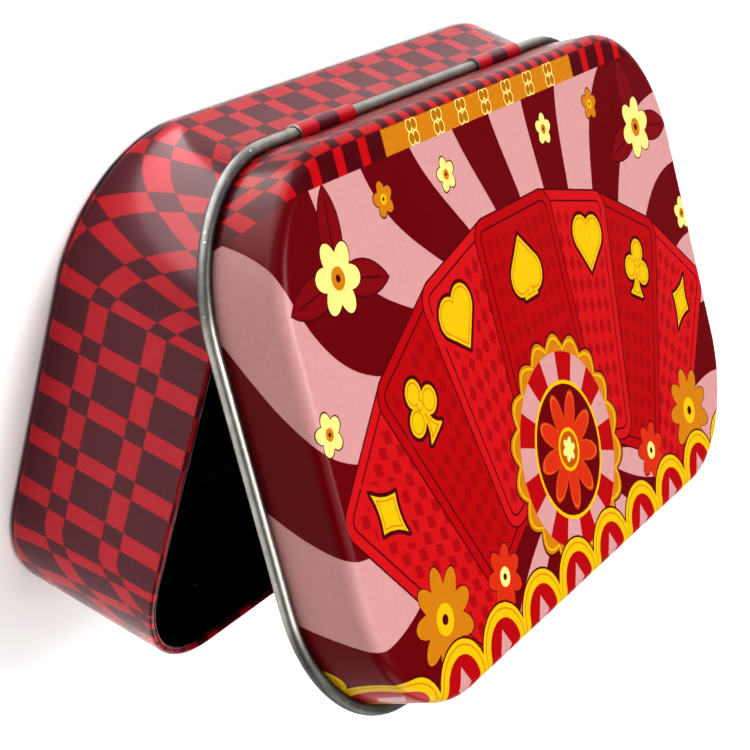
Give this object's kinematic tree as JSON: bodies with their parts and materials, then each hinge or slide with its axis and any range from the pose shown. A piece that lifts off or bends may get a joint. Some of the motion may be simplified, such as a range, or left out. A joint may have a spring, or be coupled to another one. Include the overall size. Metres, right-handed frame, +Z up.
{
  "type": "hinged card tin",
  "caption": "Small rounded rectangular tinplate tin for a card game, with rolled edges and a lid that swings on curled hinge knuckles.",
  "frame": {"origin": "centre of the tray's flat bottom face", "axes": "+X along the hinge, +Y from the front towards the hinge, +Z up out of the tray"},
  "size_m": [0.096, 0.062, 0.0501],
  "materials": {
    "printed_tinplate": "satin lacquer",
    "bare_tinplate": "satin"
  },
  "bodies": {
    "base": {"base_tray": "printed_tinplate", "base_rim_roll": "printed_tinplate", "hinge_knuckle_left": "printed_tinplate", "hinge_knuckle_right": "printed_tinplate"},
    "lid": {"lid_shell": "printed_tinplate", "lid_rolled_bead": "bare_tinplate"}
  },
  "joints": [
    {"name": "lid_hinge", "type": "hinge", "parent": "base", "child": "lid", "pos_m": [0, 0.02977, 0.0114], "axis": [-1, 0, 0], "range_deg": [-33, 77]}
  ]
}
